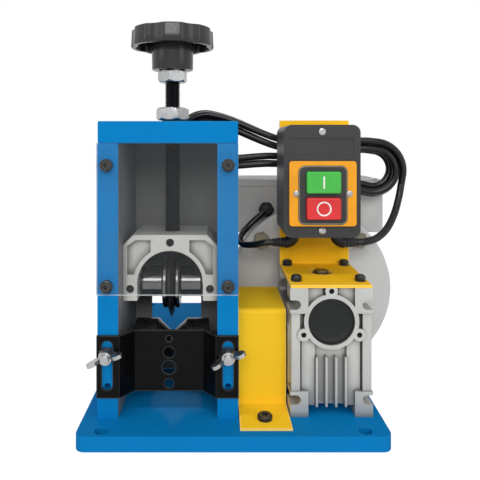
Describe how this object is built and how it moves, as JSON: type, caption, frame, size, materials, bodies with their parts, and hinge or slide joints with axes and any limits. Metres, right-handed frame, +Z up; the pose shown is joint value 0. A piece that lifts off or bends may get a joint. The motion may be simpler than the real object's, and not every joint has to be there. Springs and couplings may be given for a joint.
{
  "type": "electric wire stripping machine",
  "caption": "Motor-driven bench machine that slits cable between a V blade and a grooved roller, with a pressure screw, wire guide, worm gearbox, motor and push-button switch.",
  "frame": {"origin": "middle of the base plate's underside", "axes": "+Z up, -Y towards the operator and the wire inlet, +X to the operator's right, towards the gearbox"},
  "size_m": [0.3456, 0.38, 0.3995],
  "materials": {
    "blue_paint": "glossy powder coat",
    "dark_paint": "satin dark grey coat",
    "clear_guard": "polished clear acrylic",
    "black_oxide": "blackened steel",
    "zinc": "bright zinc plate",
    "cast_grey": "bead-blasted casting",
    "yoke_iron": "machined casting",
    "ground_steel": "turned and ground",
    "bronze": "cast bronze",
    "yellow_paint": "glossy powder coat",
    "motor_paint": "light grey enamel",
    "black_plastic": "moulded black plastic",
    "box_plastic": "textured dark grey plastic",
    "face_plastic": "orange-yellow plastic",
    "green_plastic": "green plastic",
    "red_plastic": "red plastic",
    "red_rubber": "elastomer",
    "black_rubber": "cable rubber"
  },
  "bodies": {
    "machine": {"base_plate": "blue_paint", "left_post": "blue_paint", "right_post": "blue_paint", "top_plate": "blue_paint", "rear_panel": "dark_paint", "front_guard": "clear_guard", "cap_screws": "black_oxide", "pan_screws": "zinc", "screw_spacer": "black_oxide", "lock_nut": "zinc", "shaft_bearings": "ground_steel", "coupling_cover": "yellow_paint", "guide_studs": "zinc", "gearbox_housing": "cast_grey", "gear_side_covers": "cast_grey", "worm_cap": "black_plastic", "worm_bearings": "ground_steel", "oil_plug": "bronze", "motor_flange": "motor_paint", "flange_bolts": "zinc", "motor_casing": "motor_paint", "rear_shield": "motor_paint", "fan_cowl": "black_plastic", "terminal_box": "motor_paint", "terminal_lid": "motor_paint", "switch_bracket": "yellow_paint", "switch_box": "box_plastic", "switch_lid": "box_plastic", "switch_faceplate": "face_plastic", "contact_block": "box_plastic", "cable_glands": "black_rubber", "motor_lead": "black_rubber", "cord_tail": "black_rubber", "cord_hank": "black_rubber", "hank_tie": "black_plastic", "mains_plug": "black_plastic"},
    "yoke": {"bearing_yoke": "yoke_iron", "yoke_set_screws": "black_oxide", "cutter_axle": "ground_steel", "cutter_collars": "ground_steel"},
    "knob": {"adjusting_screw": "black_oxide", "jam_nut": "zinc", "hand_knob": "black_plastic"},
    "cutter": {"cutter_hub": "ground_steel", "cutter_blade": "ground_steel"},
    "feed": {"feed_roller": "black_oxide", "feed_spacers": "ground_steel", "feed_shaft": "ground_steel", "coupling_hubs": "ground_steel", "coupling_spider": "red_rubber", "output_shaft": "ground_steel", "worm_wheel": "bronze"},
    "rotor": {"worm": "ground_steel", "motor_rotor": "ground_steel", "motor_fan": "black_plastic"},
    "guide": {"guide_plate": "black_oxide"},
    "left_nut": {"left_wing_nut": "zinc"},
    "right_nut": {"right_wing_nut": "zinc"},
    "start": {"start_button": "green_plastic"},
    "stop": {"stop_button": "red_plastic"}
  },
  "joints": [
    {"name": "yoke_slide", "type": "slide", "parent": "machine", "child": "yoke", "axis": [0, 0, 1], "range_m": [-0.014, 0.02]},
    {"name": "knob_turn", "type": "hinge", "parent": "yoke", "child": "knob", "pos_m": [-0.0608, -0.1075, 0.314], "axis": [0, 0, 1], "range_deg": [-2518, 3598]},
    {"name": "cutter_spin", "type": "hinge", "parent": "yoke", "child": "cutter", "pos_m": [-0.0608, -0.1075, 0.129], "axis": [1, 0, 0], "continuous": true},
    {"name": "rotor_spin", "type": "hinge", "parent": "machine", "child": "rotor", "pos_m": [0.0935, 0, 0.1035], "axis": [0, 1, 0], "continuous": true},
    {"name": "feed_spin", "type": "hinge", "parent": "machine", "child": "feed", "pos_m": [-0.0608, -0.1075, 0.0635], "axis": [1, 0, 0], "continuous": true},
    {"name": "guide_slide", "type": "slide", "parent": "machine", "child": "guide", "axis": [0, 0, 1], "range_m": [-0.0078, 0.0278]},
    {"name": "left_nut_turn", "type": "hinge", "parent": "machine", "child": "left_nut", "pos_m": [-0.1173, -0.165, 0.0745], "axis": [0, 1, 0], "continuous": true},
    {"name": "right_nut_turn", "type": "hinge", "parent": "machine", "child": "right_nut", "pos_m": [-0.0043, -0.165, 0.0745], "axis": [0, 1, 0], "continuous": true},
    {"name": "start_press", "type": "slide", "parent": "machine", "child": "start", "axis": [0, 1, 0], "range_m": [0, 0.004], "stiffness_N_per_m": 500},
    {"name": "stop_press", "type": "slide", "parent": "machine", "child": "stop", "axis": [0, 1, 0], "range_m": [0, 0.004], "stiffness_N_per_m": 500}
  ],
  "couplings": [
    {"joint": "yoke_slide", "follows": "knob_turn", "m_per_rad": 0.00031831},
    {"joint": "feed_spin", "follows": "rotor_spin", "ratio": 0.033333}
  ]
}
